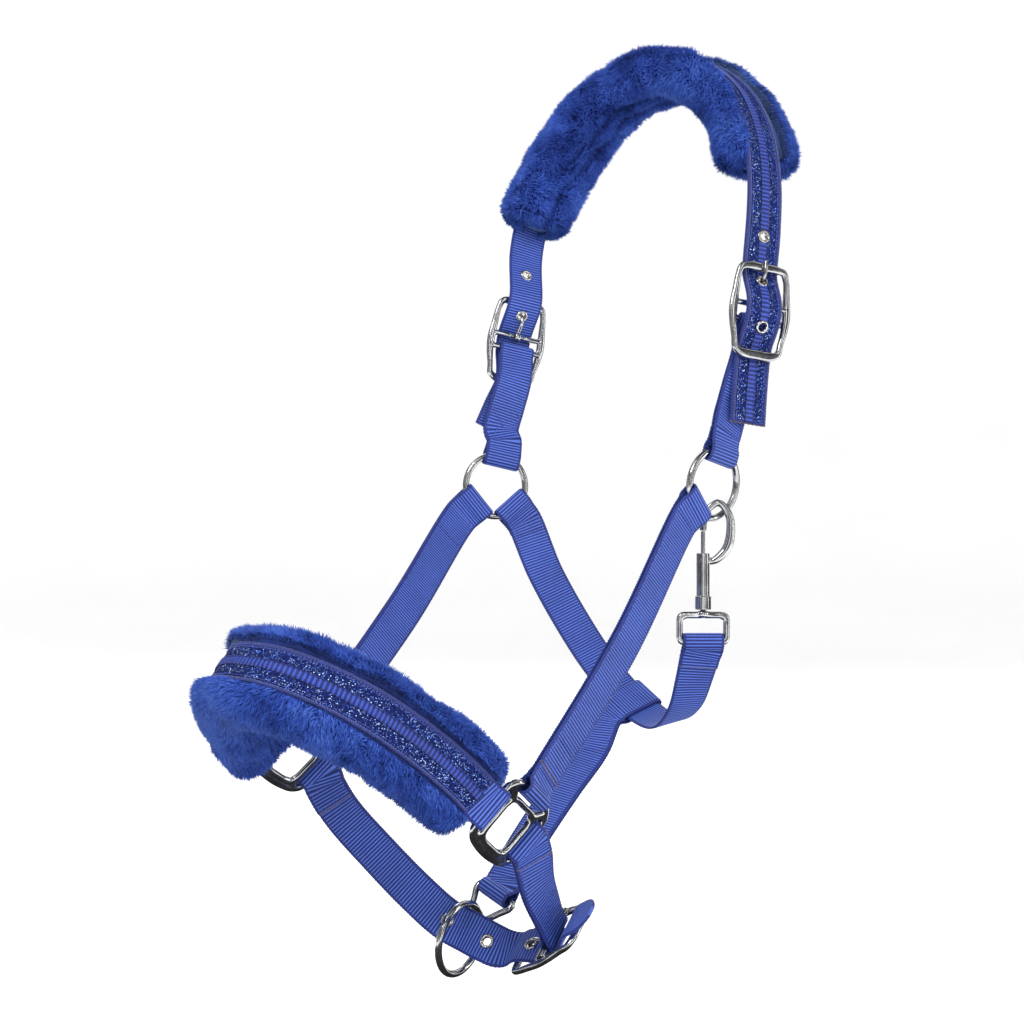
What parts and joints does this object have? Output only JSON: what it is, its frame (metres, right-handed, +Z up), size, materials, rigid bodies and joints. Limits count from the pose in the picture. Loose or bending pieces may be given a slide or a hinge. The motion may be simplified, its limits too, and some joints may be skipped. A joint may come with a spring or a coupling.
{
  "type": "head halter",
  "caption": "Padded webbing head halter for a horse, with an adjustable crown and chin strap, fur pads, swivel snap at the throat and cast hardware.",
  "frame": {"origin": "middle of the crown pad's underside, where the poll bears", "axes": "+Z up, +X towards the animal's left (near) side, -Y towards the muzzle"},
  "size_m": [0.2275, 0.4016, 0.5888],
  "materials": {
    "webbing": "ribbed nylon webbing",
    "fur_pile": "short plush pile",
    "glitter_tape": "woven tape with metallic flecks",
    "centre_ribbon": "ribbed ribbon",
    "chromed_casting": "bright, softly cast",
    "eyelet_nickel": "rolled nickel plate",
    "spring_steel": "bare wire"
  },
  "bodies": {
    "headstall": {"chin_buckle_frame": "chromed_casting", "chin_chape": "webbing", "chin_eyelet_1": "eyelet_nickel", "chin_eyelet_2": "eyelet_nickel", "chin_eyelet_3": "eyelet_nickel", "chin_strap": "webbing", "connecting_strap": "webbing", "crown_centre_ribbon": "centre_ribbon", "crown_eyelet_far_1": "eyelet_nickel", "crown_eyelet_far_2": "eyelet_nickel", "crown_eyelet_far_3": "eyelet_nickel", "crown_eyelet_near_1": "eyelet_nickel", "crown_eyelet_near_2": "eyelet_nickel", "crown_eyelet_near_3": "eyelet_nickel", "crown_glitter_tape": "glitter_tape", "crown_pad": "fur_pile", "crown_strap": "webbing", "far_buckle_frame": "chromed_casting", "far_chape": "webbing", "far_cheek_strap": "webbing", "far_square": "chromed_casting", "near_buckle_frame": "chromed_casting", "near_chape": "webbing", "near_cheek_strap": "webbing", "near_square": "chromed_casting", "nose_centre_ribbon": "centre_ribbon", "nose_glitter_tape": "glitter_tape", "nose_pad": "fur_pile", "nose_strap": "webbing", "snap_eye": "chromed_casting", "throat_strap": "webbing"},
    "near_tongue": {"near_buckle_tongue": "chromed_casting"},
    "far_tongue": {"far_buckle_tongue": "chromed_casting"},
    "chin_tongue": {"chin_buckle_tongue": "chromed_casting"},
    "lead_ring": {"lead_ring": "chromed_casting"},
    "triangle_ring": {"triangle_ring": "chromed_casting"},
    "near_ring": {"near_ring": "chromed_casting"},
    "far_ring": {"far_ring": "chromed_casting"},
    "snap_hook": {"snap_hook": "chromed_casting", "snap_spring": "spring_steel"},
    "snap_bolt": {"snap_bolt": "chromed_casting"}
  },
  "joints": [
    {"name": "near_tongue_hinge", "type": "hinge", "parent": "headstall", "child": "near_tongue", "pos_m": [0.107, -0.04, -0.14], "axis": [0.4397, 0.8885, -0.1312], "range_deg": [0, 5]},
    {"name": "far_tongue_hinge", "type": "hinge", "parent": "headstall", "child": "far_tongue", "pos_m": [-0.093, -0.043, -0.146], "axis": [-0.4194, -0.8899, 0.1795], "range_deg": [0, 5]},
    {"name": "chin_tongue_hinge", "type": "hinge", "parent": "headstall", "child": "chin_tongue", "pos_m": [0.057, -0.184, -0.515], "axis": [0.1739, -0.7913, -0.5862], "range_deg": [0, 5]},
    {"name": "lead_ring_swing", "type": "hinge", "parent": "headstall", "child": "lead_ring", "pos_m": [-0.002, -0.195, -0.503], "axis": [0.1216, -0.9926, 0], "range_deg": [-6, 10]},
    {"name": "triangle_swing", "type": "hinge", "parent": "headstall", "child": "triangle_ring", "pos_m": [0.004, -0.169, -0.498], "axis": [0.9542, -0.1168, -0.2755], "range_deg": [-5, 6]},
    {"name": "near_ring_turn", "type": "hinge", "parent": "headstall", "child": "near_ring", "pos_m": [0.092, -0.069, -0.251], "axis": [0.9867, -0.1196, -0.1096], "continuous": true},
    {"name": "far_ring_turn", "type": "hinge", "parent": "headstall", "child": "far_ring", "pos_m": [-0.091, -0.067, -0.25], "axis": [0.8557, -0.5174, 0], "continuous": true},
    {"name": "snap_swivel", "type": "hinge", "parent": "headstall", "child": "snap_hook", "pos_m": [0.0847, -0.0695, -0.32], "axis": [0, 0, 1], "range_deg": [-5, 4]},
    {"name": "snap_bolt_slide", "type": "slide", "parent": "snap_hook", "child": "snap_bolt", "axis": [0, 0, -1], "range_m": [0, 0.008], "stiffness_N_per_m": 300, "springref_m": -0.004, "deforming": ["snap_spring"]}
  ]
}
